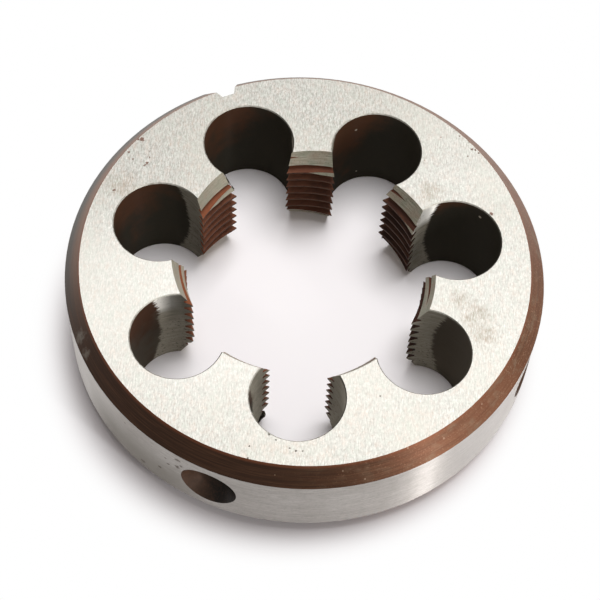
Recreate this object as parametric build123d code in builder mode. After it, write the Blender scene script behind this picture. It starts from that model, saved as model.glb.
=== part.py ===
from build123d import *

import os
from math import ceil, cos, radians, sin, tan

# Round threading die for pipe thread: one hardened steel solid, in millimetres.
# It lies flat on its lower face. The bore's axis is Z, and turns are measured from X.

os.makedirs("parts", exist_ok=True)

# Turned body with its two edge chamfers.
body_diameter = 90.0
body_height = 22.0
edge_chamfer_width = 2.9
edge_chamfer_height = 3.4

# Thread: G 1 1/2, 11 turns to the inch, 55 degree Whitworth form, right hand.
thread_major_diameter = 47.803
thread_pitch = 2.309
thread_flank_angle = 27.5
thread_depth_per_pitch = 0.640327
thread_flat_per_pitch = 1 / 6
thread_height_at_x = 0.81

# Lead-in cones at the two faces, their mouths a little wider than the thread.
# Each land is ground with relief, so its cone falls away behind the cutting edge.
lead_mouth_margin = 0.9
lead_length = 4.5
lead_relief_angle = 4.7

# Chip holes, in a ring just outside the thread and open to it.
chip_hole_count = 7
chip_hole_diameter = 17.3
chip_hole_setback = 6.23
chip_hole_turn = 115.7
chip_hole_edge_break = 0.2

# Notch down the rim, beside the first chip hole.
notch_turn = 115.1
notch_depth = 4.4
notch_floor_width = 2.3
notch_mouth_width = 7.2

# Conical recesses in the rim for the die stock's screws, turned from the first chip hole.
recess_turns = (60.0, 134.7, -134.7, -60.0)
recess_diameter = 11.2
recess_depth = 5.0
recess_cone_angle = 60.0

# The thread's cutter starts clear of the crests, and spans most of a land's spacing.
cutter_clearance = 0.2
cutter_span = 0.9

# Sizes that follow from the ones above.
thread_depth = thread_depth_per_pitch * thread_pitch
thread_flat = thread_flat_per_pitch * thread_pitch
body_radius = body_diameter / 2
root_radius = thread_major_diameter / 2
bore_radius = root_radius - thread_depth
lead_radius = root_radius + lead_mouth_margin
lead_relief_offset = lead_radius * tan(radians(lead_relief_angle))
lead_slope = (lead_radius - bore_radius) / lead_length
lead_tip_radius = bore_radius - lead_relief_offset
lead_cutter_length = (lead_radius - lead_tip_radius) / lead_slope
chip_hole_radius = chip_hole_diameter / 2
chip_hole_ring_radius = bore_radius + chip_hole_setback
land_spacing = 360 / chip_hole_count
cutter_radius = bore_radius - cutter_clearance
cutter_flank = (root_radius - cutter_radius) * tan(radians(thread_flank_angle))
cutter_arc = cutter_span * land_spacing
cutter_climb = thread_pitch * cutter_arc / 360
thread_rows = ceil(body_height / thread_pitch) + 1
recess_height = body_height / 2
recess_mouth_radius = recess_diameter / 2
recess_floor_radius = recess_mouth_radius - recess_depth * tan(radians(recess_cone_angle / 2))


def rim_plane(turn, height):
    """Plane on the rim that faces straight out."""
    x = cos(radians(turn))
    y = sin(radians(turn))
    return Plane(origin=(body_radius * x, body_radius * y, height), z_dir=(x, y, 0))


# Cutter for one land's lead-in cone, below the face at Z = 0. Its axis lies to one side of the bore's.
with BuildPart() as lead_cutter:
    with Locations((0, -lead_relief_offset, 0)):
        Cone(
            bottom_radius=lead_tip_radius,
            top_radius=lead_radius,
            height=lead_cutter_length,
            align=(Align.CENTER, Align.CENTER, Align.MAX),
        )
    # Only the share of the bore from one chip hole's middle to the next.
    with BuildSketch():
        Polygon(
            (0, 0),
            (body_radius * cos(radians(land_spacing / 2)), -body_radius * sin(radians(land_spacing / 2))),
            (body_radius * cos(radians(land_spacing / 2)), body_radius * sin(radians(land_spacing / 2))),
            align=None,
        )
    extrude(amount=-lead_cutter_length, mode=Mode.INTERSECT)

# Where it cuts: every land, at the upper face and, turned over, at the lower one.
lead_places = []
for land in range(chip_hole_count):
    land_turn = chip_hole_turn + (land + 0.5) * land_spacing
    lead_places.append(Location((0, 0, body_height), (0, 0, land_turn)))
    lead_places.append(Location((0, 0, 0), (180, 0, -land_turn)))

# Cutter for one thread groove on one land: a short arc of the helix.
with BuildPart() as thread_cutter:
    with BuildLine() as cutter_path:
        Helix(pitch=thread_pitch, height=cutter_climb, radius=bore_radius)
    with BuildSketch(Plane.XZ):
        Polygon(
            (cutter_radius, -thread_flat / 2 - cutter_flank),
            (root_radius, -thread_flat / 2),
            (root_radius, thread_flat / 2),
            (cutter_radius, thread_flat / 2 + cutter_flank),
            align=None,
        )
    sweep(path=cutter_path.line, is_frenet=True)

# Where it cuts: every land on the same helix, and each row one pitch above the last.
thread_places = []
for land in range(chip_hole_count):
    land_turn = chip_hole_turn + (land + 0.5) * land_spacing
    start_turn = land_turn - cutter_arc / 2
    start_height = thread_height_at_x + thread_pitch * (0.5 + start_turn / 360)
    lowest_height = start_height % thread_pitch - thread_pitch
    for row in range(thread_rows):
        row_height = lowest_height + row * thread_pitch
        thread_places.append(Location((0, 0, row_height), (0, 0, start_turn)))

with BuildPart() as threading_die:
    # Blank, turned with its edge chamfers.
    with BuildSketch(Plane.XZ):
        Polygon(
            (0, 0),
            (body_radius - edge_chamfer_width, 0),
            (body_radius, edge_chamfer_height),
            (body_radius, body_height - edge_chamfer_height),
            (body_radius - edge_chamfer_width, body_height),
            (0, body_height),
            align=None,
        )
    revolve(axis=Axis.Z)

    # Bore at the crests of the thread.
    Cylinder(bore_radius, body_height, align=(Align.CENTER, Align.CENTER, Align.MIN), mode=Mode.SUBTRACT)

    # Chip holes.
    with BuildSketch():
        with PolarLocations(chip_hole_ring_radius, chip_hole_count, start_angle=chip_hole_turn):
            Circle(chip_hole_radius)
    extrude(amount=body_height, mode=Mode.SUBTRACT)

    # Their edge breaks, at the lower face and then at the upper one.
    with PolarLocations(chip_hole_ring_radius, chip_hole_count, start_angle=chip_hole_turn):
        Cone(
            bottom_radius=chip_hole_radius + chip_hole_edge_break,
            top_radius=chip_hole_radius,
            height=chip_hole_edge_break,
            align=(Align.CENTER, Align.CENTER, Align.MIN),
            mode=Mode.SUBTRACT,
        )
    with Locations(Plane.XY.offset(body_height)):
        with PolarLocations(chip_hole_ring_radius, chip_hole_count, start_angle=chip_hole_turn):
            Cone(
                bottom_radius=chip_hole_radius,
                top_radius=chip_hole_radius + chip_hole_edge_break,
                height=chip_hole_edge_break,
                align=(Align.CENTER, Align.CENTER, Align.MAX),
                mode=Mode.SUBTRACT,
            )

    # Lead-in cones.
    with Locations(*lead_places):
        add(lead_cutter.part, mode=Mode.SUBTRACT)

    # Thread.
    with Locations(*thread_places):
        add(thread_cutter.part, mode=Mode.SUBTRACT)

    # Notch, from face to face.
    with BuildSketch(Plane.XY.rotated((0, 0, notch_turn))):
        Polygon(
            (body_radius - notch_depth, -notch_floor_width / 2),
            (body_radius, -notch_mouth_width / 2),
            (body_diameter, -notch_mouth_width / 2),
            (body_diameter, notch_mouth_width / 2),
            (body_radius, notch_mouth_width / 2),
            (body_radius - notch_depth, notch_floor_width / 2),
            align=None,
        )
    extrude(amount=body_height, mode=Mode.SUBTRACT)

    # Screw recesses.
    for recess_turn in recess_turns:
        with Locations(rim_plane(chip_hole_turn + recess_turn, recess_height)):
            Cone(
                bottom_radius=recess_floor_radius,
                top_radius=recess_mouth_radius,
                height=recess_depth,
                align=(Align.CENTER, Align.CENTER, Align.MAX),
                mode=Mode.SUBTRACT,
            )

threading_die.part.label = "threading_die"
export_step(threading_die.part, "parts/threading_die.step")
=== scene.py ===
"""Looks of the round threading die: materials, scraps on the lands, floor, studio light and the camera."""

import math
import random

import bpy
from mathutils import Matrix, Vector


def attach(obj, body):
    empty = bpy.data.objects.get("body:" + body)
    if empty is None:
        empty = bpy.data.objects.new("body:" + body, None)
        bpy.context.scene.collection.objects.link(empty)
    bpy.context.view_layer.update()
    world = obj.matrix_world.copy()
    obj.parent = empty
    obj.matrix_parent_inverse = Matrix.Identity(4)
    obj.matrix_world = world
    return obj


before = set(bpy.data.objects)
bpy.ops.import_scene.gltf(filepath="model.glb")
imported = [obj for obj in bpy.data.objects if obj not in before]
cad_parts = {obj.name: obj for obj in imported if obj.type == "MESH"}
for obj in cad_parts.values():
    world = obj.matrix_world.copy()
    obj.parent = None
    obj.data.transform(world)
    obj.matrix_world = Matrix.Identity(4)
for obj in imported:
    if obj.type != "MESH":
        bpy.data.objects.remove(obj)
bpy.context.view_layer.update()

MM = 0.001
MICRON = 0.000001
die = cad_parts["threading_die"]

# Sizes that the CAD model gives, in millimetres and degrees.
BODY_RADIUS = 45.0
BODY_HEIGHT = 22.0
FACE_RADIUS = 42.1
CREST_RADIUS = 22.423
HOLE_COUNT = 7
HOLE_RING_RADIUS = 28.653
HOLE_RADIUS = 8.65
FIRST_HOLE_TURN = 115.7
NOTCH_TURN = 115.1
NOTCH_HALF_TURN = 5.0
NOTCH_FLOOR_RADIUS = 40.3
RECESS_FLOOR_RADIUS = 39.5

HOLE_CENTRES = [
    (HOLE_RING_RADIUS * math.cos(turn), HOLE_RING_RADIUS * math.sin(turn))
    for turn in (math.radians(FIRST_HOLE_TURN + i * 360.0 / HOLE_COUNT) for i in range(HOLE_COUNT))
]

# How the regions of the die are told apart. A rise is the size of a polygon's normal along Z: 0 on a wall and
# 1 on a level face. An outward part is 1 where it faces away from the axis, and -1 where it faces the axis.
LEVEL_RISE = 0.99
WALL_RISE = 0.05
CHAMFER_RISE = (0.5, 0.8)
EDGE_BREAK_RISE = (0.6, 0.8)
LEAD_CONE_RISE = (0.42, 0.53)
CREST_RISE = 0.1
RIM_OUTWARD = 0.9
CHAMFER_OUTWARD = 0.7
LEAD_CONE_OUTWARD = -0.8
# How near a polygon comes to a surface that it belongs to, in millimetres.
NEAR = 0.1
NEAR_RIM = 0.05
NEAR_HOLE_WALL = 0.12
NEAR_EDGE_BREAK = 0.25


def turn_between(a, b):
    """Smallest angle between two turns, in degrees."""
    return abs((a - b + 180.0) % 360.0 - 180.0)


def region_of(polygon, mesh):
    """Name of the region a polygon of the die lies in, which is also its material's."""
    corners = [mesh.vertices[i].co / MM for i in polygon.vertices]
    centre = sum(corners, Vector()) / len(corners)
    normal = polygon.normal
    rise = abs(normal.z)
    radius = math.hypot(centre.x, centre.y)
    turn = math.degrees(math.atan2(centre.y, centre.x))
    outward = (normal.x * centre.x + normal.y * centre.y) / radius
    radii = [math.hypot(c.x, c.y) for c in corners]
    from_hole_wall = abs(min(math.hypot(centre.x - x, centre.y - y) for x, y in HOLE_CENTRES) - HOLE_RADIUS)
    by_notch = turn_between(turn, NOTCH_TURN) < NOTCH_HALF_TURN and min(radii) > NOTCH_FLOOR_RADIUS

    if rise > LEVEL_RISE and not NEAR <= centre.z <= BODY_HEIGHT - NEAR:
        return "ground_face"
    if rise < WALL_RISE and min(radii) > BODY_RADIUS - NEAR_RIM and outward > RIM_OUTWARD:
        return "turned_rim"
    if rise < WALL_RISE and by_notch and outward < RIM_OUTWARD:
        return "notch"
    if CHAMFER_RISE[0] < rise < CHAMFER_RISE[1] and radius > FACE_RADIUS - NEAR and outward > CHAMFER_OUTWARD:
        return "chamfer_scale"
    if min(radii) > RECESS_FLOOR_RADIUS:
        return "recess"
    if rise < WALL_RISE and from_hole_wall < NEAR_HOLE_WALL:
        return "hole_wall"
    if EDGE_BREAK_RISE[0] < rise < EDGE_BREAK_RISE[1] and from_hole_wall < NEAR_EDGE_BREAK:
        return "edge_break"
    if LEAD_CONE_RISE[0] < rise < LEAD_CONE_RISE[1] and outward < LEAD_CONE_OUTWARD:
        return "lead_cone"
    if rise < CREST_RISE and max(radii) < CREST_RADIUS + NEAR:
        return "thread_crest"
    return "thread_flank"


# ---------------------------------------------------------------- node helpers

# Sockets of a Mix node in its colour mode.
MIX_A, MIX_B, MIX_RESULT = 6, 7, 2


class Tree:
    """Short calls that add nodes to one node tree, which starts empty."""

    def __init__(self, tree):
        self.tree = tree
        self.tree.nodes.clear()

    def node(self, kind, inputs, **settings):
        made = self.tree.nodes.new(kind)
        for key, value in settings.items():
            setattr(made, key, value)
        for key, value in inputs.items():
            if isinstance(value, bpy.types.NodeSocket):
                self.tree.links.new(value, made.inputs[key])
            else:
                made.inputs[key].default_value = value
        return made

    def read(self, kind):
        """Outputs of a node that takes nothing in."""
        return self.node(kind, {}).outputs

    def math(self, operation, a, b=0.0, clamp=False):
        return self.node("ShaderNodeMath", {0: a, 1: b}, operation=operation, use_clamp=clamp).outputs[0]

    def plus(self, a, b, clamp=False):
        return self.math("ADD", a, b, clamp)

    def minus(self, a, b):
        return self.math("SUBTRACT", a, b)

    def times(self, a, b, clamp=False):
        return self.math("MULTIPLY", a, b, clamp)

    def over(self, a, b):
        return self.math("DIVIDE", a, b)

    def hypot(self, x, y):
        return self.math("SQRT", self.plus(self.times(x, x), self.times(y, y)))

    def vector_math(self, operation, *inputs):
        return self.node("ShaderNodeVectorMath", dict(enumerate(inputs)), operation=operation).outputs

    def place(self):
        """Object coordinates in millimetres."""
        place = self.read("ShaderNodeTexCoord")["Object"]
        return self.node("ShaderNodeVectorMath", {0: place, "Scale": 1.0 / MM}, operation="SCALE").outputs[0]

    def parts(self, vector):
        """The vector's X, Y and Z."""
        return self.node("ShaderNodeSeparateXYZ", {0: vector}).outputs

    def stretched(self, vector, scale, offset=(0.0, 0.0, 0.0), turn=0.0):
        """Coordinates for noise: a smaller scale draws it out longer along that axis."""
        return self.node(
            "ShaderNodeMapping",
            {"Vector": vector, "Scale": scale, "Location": offset, "Rotation": (0.0, 0.0, turn)},
            vector_type="POINT",
        ).outputs[0]

    def noise(self, vector, scale=1.0, detail=2.0, roughness=0.5):
        return self.node(
            "ShaderNodeTexNoise",
            {"Vector": vector, "Scale": scale, "Detail": detail, "Roughness": roughness},
        ).outputs[0]

    def remap(self, value, low, high, to_low=0.0, to_high=1.0, smooth=False):
        return self.node(
            "ShaderNodeMapRange",
            {"Value": value, "From Min": low, "From Max": high, "To Min": to_low, "To Max": to_high},
            clamp=True,
            interpolation_type="SMOOTHSTEP" if smooth else "LINEAR",
        ).outputs[0]

    def mix(self, amount, a, b):
        a, b = (v if isinstance(v, bpy.types.NodeSocket) else (*v, 1.0) for v in (a, b))
        inputs = {0: amount, MIX_A: a, MIX_B: b}
        return self.node("ShaderNodeMix", inputs, data_type="RGBA", blend_type="MIX").outputs[MIX_RESULT]

    def veil(self, tone, colour, amount, value, low, high):
        """The tone with a colour over it: none where the value is low, and the amount where it is high."""
        return self.mix(self.remap(value, low, high, 0.0, amount), tone, colour)

    def cover(self, tone, colour, amount, mask):
        """The tone with a colour over it, by the amount where the mask is 1."""
        return self.mix(self.times(mask, amount), tone, colour)

    def hole_turn(self, x, y):
        """Turn round the nearest chip hole, in degrees: 0 straight outwards and 180 towards the bore."""
        step = math.tau / HOLE_COUNT
        turn = self.minus(self.math("ARCTAN2", y, x), math.radians(FIRST_HOLE_TURN))
        near = self.node("ShaderNodeMath", {0: turn, 1: step / 2, 2: -step / 2}, operation="WRAP").outputs[0]
        radius = self.hypot(x, y)
        out = self.minus(self.times(radius, self.math("COSINE", near)), HOLE_RING_RADIUS)
        across = self.math("ABSOLUTE", self.times(radius, self.math("SINE", near)))
        return self.times(self.math("ARCTAN2", across, out), math.degrees(1.0))

    def spots(self, marks, place, soft, ragged, grain):
        """1 on each mark and 0 away from it. ragged bends their outlines, by noise of that grain."""
        inputs = {"Vector": place, "Scale": grain, "Detail": 3.0}
        shake = self.node("ShaderNodeTexNoise", inputs).outputs["Color"]
        shake = self.vector_math("SUBTRACT", shake, (0.5, 0.5, 0.5))[0]
        found = None
        for centre, size in marks:
            bent = self.vector_math("MULTIPLY_ADD", shake, (2.0 * ragged * size,) * 3, place)[0]
            away = self.vector_math("DISTANCE", bent, centre)["Value"]
            mark = self.remap(away, size * (1.0 - soft), size * (1.0 + 0.3 * soft), 1.0, 0.0, smooth=True)
            found = mark if found is None else self.math("MAXIMUM", found, mark)
        return found

    def bump(self, height, strength, microns):
        """Normal of a surface that a height from 0 to 1 raises by so many microns."""
        inputs = {"Strength": strength, "Distance": microns * MICRON, "Height": height}
        return self.node("ShaderNodeBump", inputs).outputs[0]

    def facing(self, x, y, z=0.0):
        """How far the surface faces one direction of the die, from -1 to 1."""
        normal = self.read("ShaderNodeNewGeometry")["Normal"]
        return self.vector_math("DOT_PRODUCT", normal, (x, y, z))["Value"]


class Finish(Tree):
    """The node tree of one new material."""

    def __init__(self, name):
        self.material = bpy.data.materials.new(name)
        self.material.use_nodes = True
        super().__init__(self.material.node_tree)
        self.output = self.node("ShaderNodeOutputMaterial", {})

    def shade(self, shader):
        """Show a shader's output, and give the material."""
        self.tree.links.new(shader, self.output.inputs["Surface"])
        return self.material

    def surface(self, tone, roughness, bump, metallic=1.0, anisotropic=0.0, specular=0.5):
        """Give the material a Principled surface.

        Where it is anisotropic, highlights stretch along Z, across the lathe's lines.
        """
        inputs = {
            "Base Color": tone,
            "Roughness": roughness,
            "Normal": bump,
            "Metallic": metallic,
            "Specular IOR Level": specular,
        }
        if anisotropic:
            inputs["Anisotropic"] = anisotropic
            inputs["Tangent"] = self.node("ShaderNodeCombineXYZ", {"Z": 1.0}).outputs[0]
        return self.shade(self.node("ShaderNodeBsdfPrincipled", inputs).outputs[0])


def srgb(red, green, blue):
    """Linear colour of three numbers from 0 to 255 as a screen shows them."""
    return tuple(
        v / 12.92 if v <= 0.04045 else ((v + 0.055) / 1.055) ** 2.4
        for v in (red / 255.0, green / 255.0, blue / 255.0)
    )


# ------------------------------------------------------------------- materials

# The grinding lines' turn from the Y axis, in degrees.
GRIND_TURN = -3.0
FACE_DARK = srgb(138, 136, 130)
FACE_MID = srgb(172, 170, 164)
FACE_LIGHT = srgb(208, 206, 200)
FACE_PALEST = srgb(232, 230, 224)
SCALE_DARK = srgb(54, 34, 21)
SCALE_RED = srgb(106, 67, 43)
SCALE_HIGHLIGHT = srgb(142, 95, 70)
RIM_DARK = srgb(178, 172, 167)
RIM_LIGHT = srgb(216, 210, 206)
WALL_BLACK = srgb(52, 49, 41)
WALL_BROWN = srgb(84, 56, 40)
FLANK_SHADED = srgb(50, 28, 20)
FLANK_LIT = srgb(120, 74, 53)
# Where the bare strip on a hole's wall starts, in degrees round the hole: at half the height, and how much
# further out at the faces.
STRIP_TURN_AT_MIDDLE = 112.0
STRIP_TURN_SPREAD = 16.0
# The direction that the brightest bare strips of the photograph face.
HIGHLIGHT = (0.52, -0.85)

# Marks seen on the upper face: x, y and half width, in millimetres.
FACE_PITS = (
    (-33.1, 25.0, 0.55),
    (-33.9, 24.9, 0.30),
    (-35.3, 21.8, 0.30),
    (-31.6, 19.5, 0.36),
    (-31.9, 19.0, 0.20),
    (-31.3, 22.3, 0.16),
    (-31.2, 20.8, 0.18),
    (-34.4, 20.2, 0.20),
    (-32.1, 18.8, 0.18),
    (-37.2, 12.8, 0.30),
    (30.4, 29.1, 0.20),
    (31.0, 27.4, 0.32),
    (31.6, 27.3, 0.22),
    (30.2, 25.7, 0.18),
    (32.3, 26.6, 0.22),
    (28.6, 30.4, 0.16),
    (24.9, 29.8, 0.14),
    (21.7, 24.1, 0.14),
    (34.7, 12.7, 0.40),
    (-3.0, -36.6, 0.22),
    (-4.5, -36.3, 0.32),
    (-3.3, -37.4, 0.16),
    (-0.8, -38.8, 0.15),
    (0.3, -39.3, 0.24),
    (1.5, -39.2, 0.16),
    (-7.9, -38.9, 0.18),
    (-8.0, -41.2, 0.20),
    (14.7, -27.5, 0.16),
)
FACE_SMUDGES = (
    (22.9, 17.0, 2.6),
    (31.8, -9.9, 3.4),
    (29.0, -6.5, 2.2),
    (33.5, -14.0, 2.4),
    (-36.0, 14.0, 3.0),
)
# Marks seen elsewhere: (x, y, z) and half width, in millimetres.
CHAMFER_SCUFFS = (
    ((-40.2, -17.9, 19.7), 1.5),
    ((-38.8, -21.4, 19.5), 1.0),
)
CHAMFER_SPECKS = (
    ((8.7, -42.1, 21.0), 0.16),
    ((12.7, -42.6, 19.3), 0.18),
    ((26.3, -34.4, 20.6), 0.22),
    ((33.0, -27.4, 21.1), 0.20),
    ((-3.1, -43.4, 20.4), 0.12),
    ((13.1, -43.4, 18.9), 0.20),
    ((19.9, -37.3, 21.8), 0.20),
)
RIM_MARKS = (
    ((-27.7, -35.5, 5.4), 0.6),
    ((-24.2, -38.0, 8.7), 0.5),
    ((-20.6, -40.0, 16.7), 0.6),
    ((-20.7, -39.9, 13.6), 0.6),
    ((-22.4, -39.0, 12.6), 0.35),
    ((-22.9, -38.7, 14.4), 0.3),
    ((-30.7, -32.9, 15.7), 0.3),
    ((-19.9, -40.3, 14.9), 0.4),
)
WALL_SPECKS = (
    ((8.4, 33.5, 17.6), 0.28),
    ((9.3, 33.9, 2.7), 0.22),
    ((32.9, 13.5, 19.4), 0.35),
)


def on_face(marks):
    """Marks of the upper face with their height added."""
    return [((x, y, BODY_HEIGHT), size) for x, y, size in marks]


def ground_face():
    """Surface-ground steel: grinding lines along Y, cloudy tone, rust pits and handling smudges."""
    t = Finish("ground_face")
    place = t.place()
    x, y, _ = t.parts(place)
    along = math.radians(GRIND_TURN)
    streak = t.noise(t.stretched(place, (4.6, 0.9, 0.4), turn=along), detail=3.0, roughness=0.7)
    fine = t.stretched(place, (8.0, 2.2, 0.4), (3.1, 1.7, 0.0), turn=along)
    hair = t.noise(fine, detail=2.0, roughness=0.6)
    grain = t.noise(t.stretched(place, (3.4, 2.2, 2.0)), detail=2.0)
    cloud = t.noise(t.stretched(place, (0.10, 0.07, 0.2)), detail=3.0, roughness=0.55)
    warm = t.noise(t.stretched(place, (1.3, 0.7, 0.2), (9.0, 4.0, 0.0)), detail=4.0, roughness=0.7)
    crumbs = t.noise(t.stretched(place, (2.6, 1.6, 1.0), (7.0, 2.0, 0.0)), detail=4.0, roughness=0.75)
    tone = t.mix(t.remap(streak, 0.34, 0.66), FACE_DARK, FACE_LIGHT)
    tone = t.veil(tone, FACE_MID, 0.45, hair, 0.34, 0.66)
    tone = t.veil(tone, FACE_DARK, 0.35, grain, 0.35, 0.65)
    tone = t.veil(tone, srgb(126, 122, 112), 0.55, crumbs, 0.52, 0.66)
    # Paler across the middle, and a little at the far right.
    slant = t.minus(y, t.times(x, 0.15))
    paler_band = t.times(t.remap(slant, 20.0, 4.0), t.remap(y, -40.0, -16.0))
    paler_band = t.times(paler_band, t.remap(x, -15.0, 25.0, 0.28, 0.12))
    tone = t.mix(paler_band, tone, FACE_PALEST)
    tone = t.veil(tone, srgb(176, 172, 162), 0.35, cloud, 0.40, 0.75)
    tone = t.veil(tone, srgb(190, 166, 150), 0.30, warm, 0.50, 0.75)
    tone = t.veil(tone, srgb(166, 178, 164), 0.25, warm, 0.50, 0.28)
    far_right = t.times(t.remap(x, 12.0, 26.0, 0.0, 0.10), t.remap(y, 12.0, 20.0))
    tone = t.mix(far_right, tone, FACE_PALEST)
    smudge = t.spots(on_face(FACE_SMUDGES), place, soft=1.0, ragged=0.9, grain=0.6)
    smudge = t.times(smudge, t.remap(streak, 0.62, 0.38, 0.25, 1.0))
    tone = t.cover(tone, srgb(142, 124, 100), 0.42, smudge)
    pit = t.spots(on_face(FACE_PITS), place, soft=0.5, ragged=1.0, grain=2.4)
    rust = t.mix(t.remap(y, 0.0, -20.0), srgb(104, 66, 46), srgb(82, 76, 64))
    tone = t.cover(tone, rust, 0.9, pit)
    rough = t.remap(streak, 0.2, 0.8, 0.50, 0.62)
    rough = t.plus(rough, t.times(smudge, 0.08), clamp=True)
    height = t.plus(streak, t.times(hair, 0.6))
    height = t.minus(height, t.times(pit, 3.0))
    metal = t.remap(pit, 0.0, 1.0, 1.0, 0.1)
    return t.surface(tone, rough, t.bump(height, 0.30, 40), metallic=metal)


def chamfer_scale():
    """Turned chamfer under brown scale: dark on the front left and redder on the right, partly painted shade
    and light, with a painted highlight on the front right, and greyer at the back.
    """
    t = Finish("chamfer_scale")
    place = t.place()
    x, y, z = t.parts(place)
    lines = t.noise(t.stretched(place, (0.10, 0.10, 6.5)), detail=3.0, roughness=0.65)
    coarse = t.noise(t.stretched(place, (0.06, 0.06, 1.6), (5.0, 2.0, 0.0)), detail=2.0)
    patch = t.noise(place, scale=0.35, detail=4.0, roughness=0.6)
    grit = t.noise(place, scale=3.2, detail=2.0)
    radius = t.hypot(x, y)
    side = t.over(t.plus(t.times(x, 0.93), t.times(y, 0.37)), radius)
    # The red-brown is the scale's own colour; its split, dark on the front left and red on the right, is
    # partly painted shade and light.
    red = t.remap(t.plus(side, t.remap(coarse, 0.2, 0.8, -0.12, 0.12)), -0.60, 0.75, smooth=True)
    # A painted highlight makes it palest on the front right; it is greyer on the back right and the far left.
    painted_highlight_zone = t.over(t.minus(t.times(x, 0.62), t.times(y, 0.78)), radius)
    tone = t.mix(red, SCALE_DARK, t.mix(t.remap(painted_highlight_zone, 0.88, 0.99), SCALE_RED, SCALE_HIGHLIGHT))
    back_right = t.times(t.remap(t.over(y, radius), 0.05, 0.55), t.remap(x, -6.0, 10.0))
    tone = t.cover(tone, srgb(146, 118, 104), 0.8, back_right)
    far_left = t.remap(t.over(t.minus(y, x), radius), 0.35, 1.35, smooth=True)
    near_face = t.remap(z, BODY_HEIGHT - 2.6, BODY_HEIGHT - 0.8)
    greyed = t.mix(near_face, srgb(112, 112, 108), srgb(156, 128, 112))
    tone = t.cover(tone, greyed, 0.85, far_left)
    tone = t.mix(t.times(t.remap(lines, 0.45, 0.75, 0.0, 0.35), red), tone, srgb(160, 118, 88))
    tone = t.veil(tone, srgb(96, 66, 46), 0.4, lines, 0.48, 0.72)
    tone = t.veil(tone, srgb(40, 26, 17), 0.35, lines, 0.55, 0.30)
    tone = t.mix(t.times(t.remap(patch, 0.50, 0.78, 0.0, 0.4), red), tone, srgb(112, 62, 40))
    tone = t.mix(t.times(t.remap(grit, 0.58, 0.70, 0.0, 0.4), red), tone, srgb(180, 140, 112))
    worn = t.noise(t.stretched(place, (0.30, 0.30, 0.55), (1.0, 6.0, 2.0)), detail=4.0, roughness=0.6)
    tone = t.mix(t.times(t.remap(worn, 0.52, 0.66, 0.0, 0.35), red), tone, srgb(140, 126, 104))
    upper_edge = t.remap(z, BODY_HEIGHT - 0.55, BODY_HEIGHT - 0.12)
    rust_edge = t.math("MAXIMUM", upper_edge, t.remap(z, 0.55, 0.12))
    tone = t.cover(tone, srgb(140, 78, 50), 0.4, rust_edge)
    scuff = t.spots(CHAMFER_SCUFFS, place, soft=0.9, ragged=1.0, grain=1.3)
    tone = t.cover(tone, srgb(128, 122, 112), 0.5, scuff)
    speck = t.spots(CHAMFER_SPECKS, place, soft=0.3, ragged=0.5, grain=3.0)
    tone = t.cover(tone, srgb(186, 160, 136), 0.45, speck)
    rough = t.remap(lines, 0.2, 0.8, 0.34, 0.52)
    return t.surface(tone, rough, t.bump(lines, 0.35, 60), metallic=0.5, anisotropic=0.6, specular=0.25)


def turned_rim():
    """Rim: turned and ground steel with fine lines round it, a few handling marks, and painted light and
    shade by side.
    """
    t = Finish("turned_rim")
    place = t.place()
    z = t.parts(place)["Z"]
    lines = t.noise(t.stretched(place, (0.06, 0.06, 6.0)), detail=3.0, roughness=0.65)
    short = t.noise(t.stretched(place, (0.45, 0.45, 5.0), (2.0, 7.0, 0.0)), detail=2.0, roughness=0.6)
    grain = t.noise(t.stretched(place, (1.6, 1.6, 3.4)), detail=3.0, roughness=0.7)
    cloud = t.noise(place, scale=0.10, detail=3.0)
    tone = t.mix(t.remap(lines, 0.28, 0.72), RIM_DARK, RIM_LIGHT)
    tone = t.veil(tone, srgb(150, 145, 139), 0.5, short, 0.35, 0.70)
    tone = t.veil(tone, srgb(134, 128, 121), 0.4, grain, 0.50, 0.70)
    tone = t.veil(tone, srgb(156, 148, 141), 0.4, cloud, 0.35, 0.75)
    # Painted light makes it paler to the right and the far left, and painted shade makes it duller low down
    # on the front left.
    tone = t.veil(tone, srgb(236, 231, 228), 0.3, t.facing(0.80, -0.60), 0.955, 0.99)
    tone = t.veil(tone, srgb(232, 228, 224), 0.4, t.facing(-0.96, -0.28), 0.84, 0.97)
    painted_shade_low_left = t.times(t.remap(t.facing(-0.64, -0.77), 0.94, 0.99), t.remap(z, 16.0, 8.0, 0.0, 0.75))
    tone = t.mix(painted_shade_low_left, tone, srgb(138, 132, 124))
    mark = t.spots(RIM_MARKS, place, soft=0.5, ragged=1.1, grain=1.8)
    tone = t.cover(tone, srgb(84, 70, 60), 0.75, mark)
    rough = t.remap(lines, 0.2, 0.8, 0.40, 0.48)
    return t.surface(tone, rough, t.bump(t.plus(lines, short), 0.12, 40), anisotropic=1.0)


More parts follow.
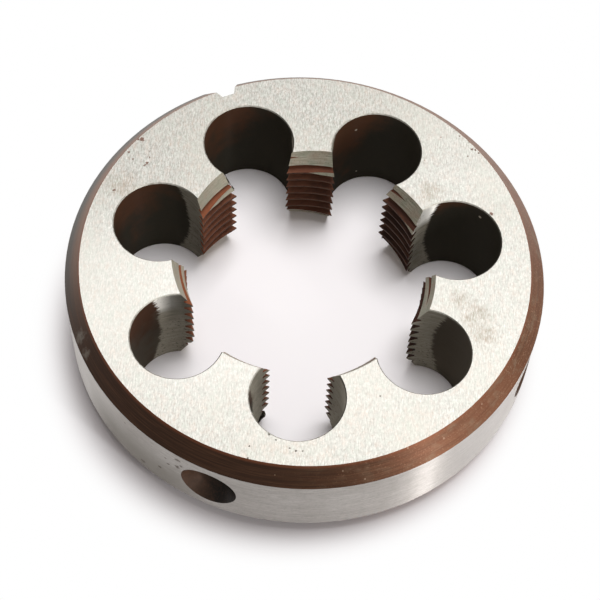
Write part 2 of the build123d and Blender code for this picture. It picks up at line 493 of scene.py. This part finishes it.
def hole_wall():
    """Chip-hole wall: black-brown scale, and beside each land the bare strip that grinding left, with painted
    light, shade and highlight.
    """
    t = Finish("hole_wall")
    place = t.place()
    x, y, z = t.parts(place)
    phi = t.hole_turn(x, y)
    mid = t.over(t.minus(z, BODY_HEIGHT / 2), BODY_HEIGHT / 2)
    edge = t.minus(STRIP_TURN_AT_MIDDLE, t.times(t.times(mid, mid), STRIP_TURN_SPREAD))
    # The bare strips are wider on the left, and widest in front on the left.
    wider = t.times(t.remap(x, 14.0, -6.0), t.remap(y, 12.0, -14.0, 3.0, 14.0))
    wider = t.times(wider, t.remap(z, BODY_HEIGHT, 14.0, 0.4, 1.0))
    # In the front hole the right strip is the wider one.
    front_hole = t.times(t.remap(y, -19.0, -21.5), t.remap(t.math("ABSOLUTE", x), 11.0, 9.5))
    lopsided = t.minus(t.remap(x, -4.0, 4.0, 3.0, 18.0), wider)
    wider = t.plus(wider, t.times(front_hole, lopsided))
    edge = t.minus(edge, wider)
    fray = t.noise(t.stretched(place, (0.35, 0.35, 3.2)), detail=3.0, roughness=0.7)
    drift = t.noise(place, scale=0.09, detail=1.0)
    past = t.minus(phi, edge)
    past = t.plus(past, t.remap(fray, 0.2, 0.8, -6.0, 6.0))
    past = t.plus(past, t.remap(drift, 0.2, 0.8, -3.0, 3.0))
    bare = t.remap(past, -1.2, 2.2)
    reamed = t.noise(t.stretched(place, (0.3, 0.3, 4.5)), detail=3.0, roughness=0.6)
    mottle = t.noise(place, scale=0.22, detail=4.0, roughness=0.6)
    dust = t.noise(place, scale=4.0, detail=2.0)
    # Redder scale on the walls that face the front right, most of all near the upper face: the red-brown is
    # the scale's own colour, and its spread by facing is painted light.
    redder = t.plus(t.facing(0.75, -0.66), t.remap(z, 7.0, BODY_HEIGHT, -0.55, 0.30))
    redder = t.plus(redder, t.remap(mottle, 0.25, 0.75, -0.35, 0.35))
    redder = t.minus(redder, t.times(t.remap(x, 8.0, 26.0, 0.0, 0.50), t.remap(z, 21.5, 19.0)))
    front = t.remap(y, 4.0, -10.0)
    black = t.mix(front, WALL_BLACK, srgb(88, 81, 70))
    scale = t.mix(t.remap(redder, 0.35, 1.15, smooth=True), black, WALL_BROWN)
    scale = t.veil(scale, srgb(66, 54, 42), 0.25, reamed, 0.45, 0.75)
    scale = t.veil(scale, srgb(80, 66, 50), 0.35, dust, 0.60, 0.74)
    ground = t.mix(t.remap(reamed, 0.3, 0.7), srgb(120, 114, 101), srgb(168, 161, 146))
    # Painted highlight: near the upper face, the bare strips that face the highlight direction are painted
    # near white.
    painted_highlight = t.times(t.remap(t.facing(*HIGHLIGHT), 0.86, 1.0), t.remap(z, 16.0, 18.2))
    painted_highlight = t.times(painted_highlight, t.remap(t.math("ABSOLUTE", x), 9.0, 13.0))
    ground = t.mix(painted_highlight, ground, srgb(240, 237, 230))
    ground = t.veil(ground, srgb(206, 198, 182), 0.22, y, -6.0, -14.0)
    # Duller on the front hole's left wall, and stained on both.
    ground = t.mix(t.times(front_hole, t.remap(x, 0.0, -4.0, 0.0, 0.35)), ground, srgb(84, 79, 68))
    stain = t.times(t.remap(mottle, 0.48, 0.64, 0.0, 0.4), t.remap(x, 4.0, -4.0, 0.35, 1.0))
    ground = t.mix(t.times(front_hole, stain), ground, srgb(96, 82, 66))
    # On the front left, painted shade darkens the strip where it turns away from the highlight, so it is
    # bright only beside the scale.
    beside = t.times(t.remap(t.facing(*HIGHLIGHT), 0.992, 0.945), t.remap(z, 11.0, 17.5, 0.0, 0.55))
    beside = t.times(beside, t.times(t.remap(x, -6.0, -12.0), t.remap(y, 0.0, -6.0)))
    ground = t.mix(beside, ground, srgb(90, 87, 79))
    blot = t.noise(t.stretched(place, (1.7, 1.7, 2.6), (4.0, 4.0, 0.0)), detail=3.0, roughness=0.6)
    blot = t.times(t.remap(blot, 0.60, 0.67), t.remap(z, 15.0, 9.0, 0.25, 0.85))
    ground = t.mix(blot, ground, srgb(48, 42, 34))
    tone = t.mix(bare, scale, ground)
    speck = t.spots(WALL_SPECKS, place, soft=0.3, ragged=0.5, grain=3.0)
    tone = t.cover(tone, srgb(198, 188, 172), 0.9, speck)
    rough = t.remap(bare, 0.0, 1.0, 0.5, 0.56)
    metal = t.remap(bare, 0.0, 1.0, 0.0, 0.8)
    height = t.plus(reamed, t.times(bare, -0.6))
    return t.surface(tone, rough, t.bump(height, 0.25, 50), metallic=metal, specular=0.04, anisotropic=1.0)


def edge_break():
    """Thin bright edge round each chip hole, darkened by painted shade where it faces left."""
    t = Finish("edge_break")
    place = t.place()
    nick = t.noise(place, scale=1.4, detail=3.0)
    tone = t.mix(t.remap(nick, 0.35, 0.65), srgb(160, 155, 144), srgb(204, 200, 190))
    # Painted shade: the edges that face left are darkened.
    tone = t.veil(tone, srgb(64, 60, 51), 0.85, t.facing(-0.9, -0.1), 0.2, 0.55)
    return t.surface(tone, t.remap(nick, 0.3, 0.7, 0.45, 0.6), t.bump(nick, 0.2, 40))


def lead_cone():
    """Ground lead-in cone, with its grinding lines round the bore, and painted light on the left lands."""
    t = Finish("lead_cone")
    place = t.place()
    x = t.parts(place)["X"]
    lines = t.noise(t.stretched(place, (0.30, 0.30, 7.0)), detail=3.0, roughness=0.65)
    cloud = t.noise(place, scale=0.5, detail=3.0)
    grain = t.noise(place, scale=3.2, detail=2.0)
    tone = t.mix(t.remap(lines, 0.3, 0.7), srgb(128, 125, 108), srgb(192, 187, 168))
    tone = t.veil(tone, srgb(160, 136, 116), 0.5, cloud, 0.45, 0.72)
    tone = t.veil(tone, srgb(128, 140, 118), 0.5, cloud, 0.50, 0.28)
    tone = t.veil(tone, srgb(104, 98, 84), 0.5, grain, 0.55, 0.72)
    # Painted light: paler on the left lands, whose cones face the light from the right.
    tone = t.veil(tone, srgb(222, 212, 190), 0.3, x, 5.0, -18.0)
    rough = t.remap(lines, 0.3, 0.7, 0.38, 0.5)
    return t.surface(tone, rough, t.bump(lines, 0.35, 50), metallic=0.6, anisotropic=0.3)


def thread_flank():
    """Thread flanks under red-brown scale, lighter on the left lands by painted light, and orange in the
    first turn.
    """
    t = Finish("thread_flank")
    place = t.place()
    x, _, z = t.parts(place)
    mottle = t.noise(place, scale=0.9, detail=4.0, roughness=0.6)
    lines = t.noise(t.stretched(place, (0.3, 0.3, 5.0)), detail=2.0)
    # Painted light: the flanks on the left lands, which face the light from the right, are lighter.
    lit_leftward = t.remap(t.plus(x, t.times(mottle, 12.0)), 18.0, -14.0)
    tone = t.mix(lit_leftward, FLANK_SHADED, FLANK_LIT)
    tone = t.veil(tone, srgb(66, 44, 32), 0.6, mottle, 0.45, 0.75)
    tone = t.veil(tone, srgb(124, 82, 60), 0.35, lines, 0.45, 0.75)
    first = t.remap(z, 17.3, 18.1)
    tone = t.cover(tone, t.mix(lit_leftward, srgb(84, 50, 37), srgb(128, 74, 48)), 0.85, first)
    return t.surface(tone, 0.48, t.bump(mottle, 0.25, 50), metallic=0.0, specular=0.12)


def thread_crest():
    """Thread crests, rubbed a little lighter than the flanks."""
    t = Finish("thread_crest")
    place = t.place()
    mottle = t.noise(place, scale=1.3, detail=4.0, roughness=0.6)
    tone = t.mix(t.remap(mottle, 0.3, 0.7), srgb(56, 38, 30), srgb(92, 66, 50))
    return t.surface(tone, 0.5, t.bump(mottle, 0.2, 40), metallic=0.0, specular=0.06)


def recess():
    """Screw recesses, drilled before the scale formed."""
    t = Finish("recess")
    place = t.place()
    mottle = t.noise(place, scale=0.6, detail=4.0, roughness=0.6)
    fine = t.noise(place, scale=3.0, detail=2.0)
    # Painted light: browner where the recess faces the right, darker elsewhere.
    lit = t.plus(t.facing(0.95, -0.2, 0.2), t.remap(mottle, 0.3, 0.7, -0.2, 0.2))
    tone = t.mix(t.remap(lit, -0.1, 0.9), srgb(34, 27, 21), srgb(88, 62, 45))
    tone = t.veil(tone, srgb(96, 68, 50), 0.3, fine, 0.5, 0.75)
    return t.surface(tone, 0.42, t.bump(fine, 0.25, 50), metallic=0.1, specular=0.2)


def notch():
    """Milled notch, brown scale worn to steel in places."""
    t = Finish("notch")
    place = t.place()
    lines = t.noise(t.stretched(place, (0.8, 0.8, 4.0)), detail=3.0, roughness=0.6)
    wear = t.noise(place, scale=0.7, detail=3.0)
    tone = t.mix(t.remap(lines, 0.3, 0.7), srgb(92, 66, 52), srgb(140, 112, 92))
    tone = t.veil(tone, srgb(186, 178, 166), 0.8, wear, 0.45, 0.65)
    return t.surface(tone, 0.42, t.bump(lines, 0.3, 50), metallic=0.6)


# Makers of the die's materials, by region, in the order of its material slots.
MAKERS = {
    "ground_face": ground_face,
    "chamfer_scale": chamfer_scale,
    "turned_rim": turned_rim,
    "hole_wall": hole_wall,
    "edge_break": edge_break,
    "lead_cone": lead_cone,
    "thread_flank": thread_flank,
    "thread_crest": thread_crest,
    "recess": recess,
    "notch": notch,
}
SLOT = {name: i for i, name in enumerate(MAKERS)}

mesh = die.data
mesh.materials.clear()
for make in MAKERS.values():
    mesh.materials.append(make())
for polygon in mesh.polygons:
    polygon.material_index = SLOT[region_of(polygon, mesh)]

# ------------------------------------------------------------- burrs and dirt

# Bits seen clinging to the lands' ends: points along each, and its half width at each point, in millimetres.
BRIGHT_BURRS = {
    "burr_right_land_end": (
        ((21.43, 12.01, 20.51), 0.05),
        ((21.25, 11.85, 19.6), 0.22),
        ((21.05, 11.6, 18.8), 0.24),
        ((20.95, 11.5, 18.2), 0.12),
        ((21.25, 11.75, 17.27), 0.04),
    ),
    "burr_right_land_root": (
        ((20.58, 10.92, 17.08), 0.05),
        ((20.3, 10.4, 17.2), 0.20),
        ((20.18, 10.17, 17.01), 0.05),
    ),
}
DARK_BURRS = {
    "burr_left_land_end": (
        ((-16.42, 18.38, 21.19), 0.04),
        ((-16.12, 18.06, 20.38), 0.10),
        ((-15.73, 17.82, 19.68), 0.12),
        ((-15.42, 17.93, 18.58), 0.04),
    ),
    "burr_left_land_curl": (
        ((-15.19, 17.79, 18.61), 0.04),
        ((-15.0, 17.59, 18.32), 0.11),
        ((-14.73, 17.55, 17.68), 0.12),
        ((-14.86, 17.29, 17.39), 0.04),
    ),
    "burr_top_right_land": (
        ((15.18, 17.43, 4.02), 0.05),
        ((15.09, 17.33, 3.8), 0.16),
        ((15.06, 17.12, 3.86), 0.05),
    ),
    "dirt_front_land_left": (
        ((-6.17, -22.63, 3.19), 0.15),
        ((-6.12, -22.9, 2.71), 0.42),
        ((-6.27, -23.05, 2.13), 0.48),
        ((-6.65, -23.38, 1.5), 0.32),
        ((-6.94, -23.67, 0.95), 0.24),
        ((-7.2, -23.9, 0.4), 0.1),
    ),
}
# Sides of a crumb's section, and how ragged it is: the least and most share of its half width.
CRUMB_SIDES = 6
CRUMB_REACH = (0.75, 1.25)



def crumb(name, path, material):
    """Small jagged bit along a path, in one closed mesh attached to the root body."""
    around = CRUMB_SIDES
    shake = random.Random(name)
    vertices, faces = [], []
    for i, (centre, half_width) in enumerate(path):
        before = Vector(path[max(i - 1, 0)][0])
        after = Vector(path[min(i + 1, len(path) - 1)][0])
        along = (after - before).normalized()
        side = along.orthogonal().normalized()
        other = along.cross(side)
        for k in range(around):
            a = math.tau * k / around
            reach = half_width * shake.uniform(*CRUMB_REACH)
            vertices.append((Vector(centre) + (side * math.cos(a) + other * math.sin(a)) * reach) * MM)
    for i in range(len(path) - 1):
        for k in range(around):
            first, second = i * around + k, i * around + (k + 1) % around
            faces.append((first, second, second + around, first + around))
    faces.append(tuple(reversed(range(around))))
    faces.append(tuple(range((len(path) - 1) * around, len(path) * around)))
    crumb_mesh = bpy.data.meshes.new(name)
    crumb_mesh.from_pydata(vertices, [], faces)
    crumb_mesh.materials.append(material)
    piece = bpy.data.objects.new(name, crumb_mesh)
    bpy.context.scene.collection.objects.link(piece)
    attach(piece, "root")


def crumb_steel(name, dark, light, metallic):
    """Torn steel or dirt, mottled."""
    t = Finish(name)
    mottle = t.noise(t.place(), scale=2.5, detail=3.0, roughness=0.6)
    tone = t.mix(t.remap(mottle, 0.35, 0.65), dark, light)
    rough = t.remap(mottle, 0.3, 0.7, 0.35, 0.6)
    return t.surface(tone, rough, t.bump(mottle, 0.4, 100), metallic=metallic, specular=0.2)


# The bright burrs are torn steel, with their palest tone a painted glint.
bright_burr = crumb_steel("bright_burr", srgb(196, 190, 178), srgb(240, 237, 230), metallic=0.6)
dark_burr = crumb_steel("dark_burr", srgb(26, 24, 18), srgb(74, 68, 54), metallic=0.0)
for paths, material in ((BRIGHT_BURRS, bright_burr), (DARK_BURRS, dark_burr)):
    for name, path in paths.items():
        crumb(name, path, material)

# ----------------------------------------------------------------------- floor

# In metres.
FLOOR_HALF = 3.0
FLOOR_GAP = 0.02 * MM
# The paper under and beside the die, in millimetres: past its end the floor is the white background.
SHADOW_CENTRE = (-2.5, -2.5, 0.0)
SHADOW_START, SHADOW_END = 42.0, 51.0
PAPER_COLOUR = (0.965, 0.938, 0.95, 1.0)
WHITE = (1.0, 1.0, 1.0, 1.0)

floor_mesh = bpy.data.meshes.new("floor")
floor_corners = [(x * FLOOR_HALF, y * FLOOR_HALF, 0.0) for x, y in ((-1, -1), (1, -1), (1, 1), (-1, 1))]
floor_mesh.from_pydata(floor_corners, [], [(0, 1, 2, 3)])
floor = bpy.data.objects.new("floor", floor_mesh)
bpy.context.scene.collection.objects.link(floor)
floor.location.z = -FLOOR_GAP


def floor_paper():
    """Pale paper near the die, and plain white past it wherever a ray only looks at the floor."""
    t = Finish("floor_paper")
    away = t.vector_math("DISTANCE", t.place(), SHADOW_CENTRE)["Value"]
    far = t.remap(away, SHADOW_START, SHADOW_END, smooth=True)
    rays = t.read("ShaderNodeLightPath")
    seen = t.plus(rays["Is Camera Ray"], rays["Is Glossy Ray"])
    seen = t.plus(seen, rays["Is Transmission Ray"], clamp=True)
    paper = t.node("ShaderNodeBsdfDiffuse", {"Color": PAPER_COLOUR}).outputs[0]
    white = t.node("ShaderNodeEmission", {"Color": WHITE, "Strength": 1.0}).outputs[0]
    return t.shade(t.node("ShaderNodeMixShader", {0: t.times(far, seen), 1: paper, 2: white}).outputs[0])


floor_mesh.materials.append(floor_paper())

# ----------------------------------------------------------------------- light

LAMP_TARGET = Vector((0.0, 0.0, BODY_HEIGHT / 2 * MM))


def softbox(name, turn, elevation, distance, width, height, power):
    """Area lamp, sized in metres, that faces the die's middle from a turn and an elevation in degrees."""
    lamp = bpy.data.lights.new(name, "AREA")
    lamp.shape = "RECTANGLE"
    lamp.size, lamp.size_y = width, height
    lamp.energy = power
    made = bpy.data.objects.new(name, lamp)
    bpy.context.scene.collection.objects.link(made)
    a, e = math.radians(turn), math.radians(elevation)
    away = Vector((math.cos(a) * math.cos(e), math.sin(a) * math.cos(e), math.sin(e)))
    made.location = LAMP_TARGET + away * distance
    made.rotation_mode = "QUATERNION"
    made.rotation_quaternion = away.to_track_quat("Z", "Y")


softbox("overhead_softbox", turn=60.0, elevation=77.0, distance=1.0, width=0.60, height=0.60, power=8.8)
softbox("side_softbox", turn=-41.0, elevation=20.0, distance=0.7, width=0.04, height=0.34, power=1.12)

# Studio walls as glossy surfaces see them: pale, brighter low down and towards +X, dim low on the front left.
HORIZON_STRENGTH, ZENITH_STRENGTH = 0.90, 0.55
DIM_DIRECTION = (-0.57, -0.82, 0.0)
DIM_START, DIM_FULL = 0.35, 0.95
DIM_FULL_HEIGHT, DIM_END_HEIGHT = 0.10, 0.50
DIMMING = 0.95
EAST_GAIN = 0.30
# The light that diffuse surfaces get from the walls.
FILL_COLOUR = (1.0, 0.935, 0.915, 1.0)
FILL_STRENGTH = 0.30

world = bpy.data.worlds.new("studio")
bpy.context.scene.world = world
world.use_nodes = True
walls = Tree(world.node_tree)
direction = walls.read("ShaderNodeTexCoord")["Generated"]
east, _, height = walls.parts(direction)
level = walls.remap(height, 0.0, 1.0, HORIZON_STRENGTH, ZENITH_STRENGTH)
towards_front_left = walls.vector_math("DOT_PRODUCT", direction, DIM_DIRECTION)["Value"]
front_left = walls.remap(towards_front_left, DIM_START, DIM_FULL, smooth=True)
low_down = walls.remap(height, DIM_FULL_HEIGHT, DIM_END_HEIGHT, 1.0, 0.0, smooth=True)
dimming = walls.times(walls.times(front_left, low_down), DIMMING)
level = walls.times(level, walls.minus(1.0, dimming))
level = walls.times(level, walls.remap(east, -1.0, 1.0, 1.0 - EAST_GAIN, 1.0 + EAST_GAIN), clamp=True)
fill = walls.node("ShaderNodeBackground", {"Color": FILL_COLOUR, "Strength": FILL_STRENGTH}).outputs[0]
studio = walls.node("ShaderNodeBackground", {"Color": WHITE, "Strength": level}).outputs[0]
white = walls.node("ShaderNodeBackground", {"Color": WHITE, "Strength": 1.0}).outputs[0]
rays = walls.read("ShaderNodeLightPath")
mirrored = walls.plus(rays["Is Glossy Ray"], rays["Is Transmission Ray"], clamp=True)
mixed = walls.node("ShaderNodeMixShader", {0: mirrored, 1: fill, 2: studio}).outputs[0]
mixed = walls.node("ShaderNodeMixShader", {0: rays["Is Camera Ray"], 1: mixed, 2: white}).outputs[0]
walls.node("ShaderNodeOutputWorld", {"Surface": mixed})

# ---------------------------------------------------------------------- camera

# The photograph's view, worked out from the edges of the die: degrees, metres, and millimetres of lens.
CAMERA_TILT = 59.9612
CAMERA_ROLL = 3.5263
CAMERA_PLACE = (-0.611 * MM, -164.646 * MM, 291.508 * MM)
SENSOR_WIDTH = 36.0
LENS = 101.62
CLIP_START, CLIP_END = 0.01, 20.0

tilt, roll = math.radians(CAMERA_TILT), math.radians(CAMERA_ROLL)
across = Vector((1.0, 0.0, 0.0))
rise = Vector((0.0, math.sin(tilt), math.cos(tilt)))
right = math.cos(roll) * across + math.sin(roll) * rise
up = -math.sin(roll) * across + math.cos(roll) * rise
back = right.cross(up)

camera_data = bpy.data.cameras.new("camera")
camera_data.sensor_width = SENSOR_WIDTH
camera_data.lens = LENS
camera_data.clip_start = CLIP_START
camera_data.clip_end = CLIP_END
camera = bpy.data.objects.new("camera", camera_data)
bpy.context.scene.collection.objects.link(camera)
camera.matrix_world = Matrix.Translation(CAMERA_PLACE) @ Matrix((right, up, back)).transposed().to_4x4()
bpy.context.scene.camera = camera

bpy.context.scene.view_settings.view_transform = "Standard"
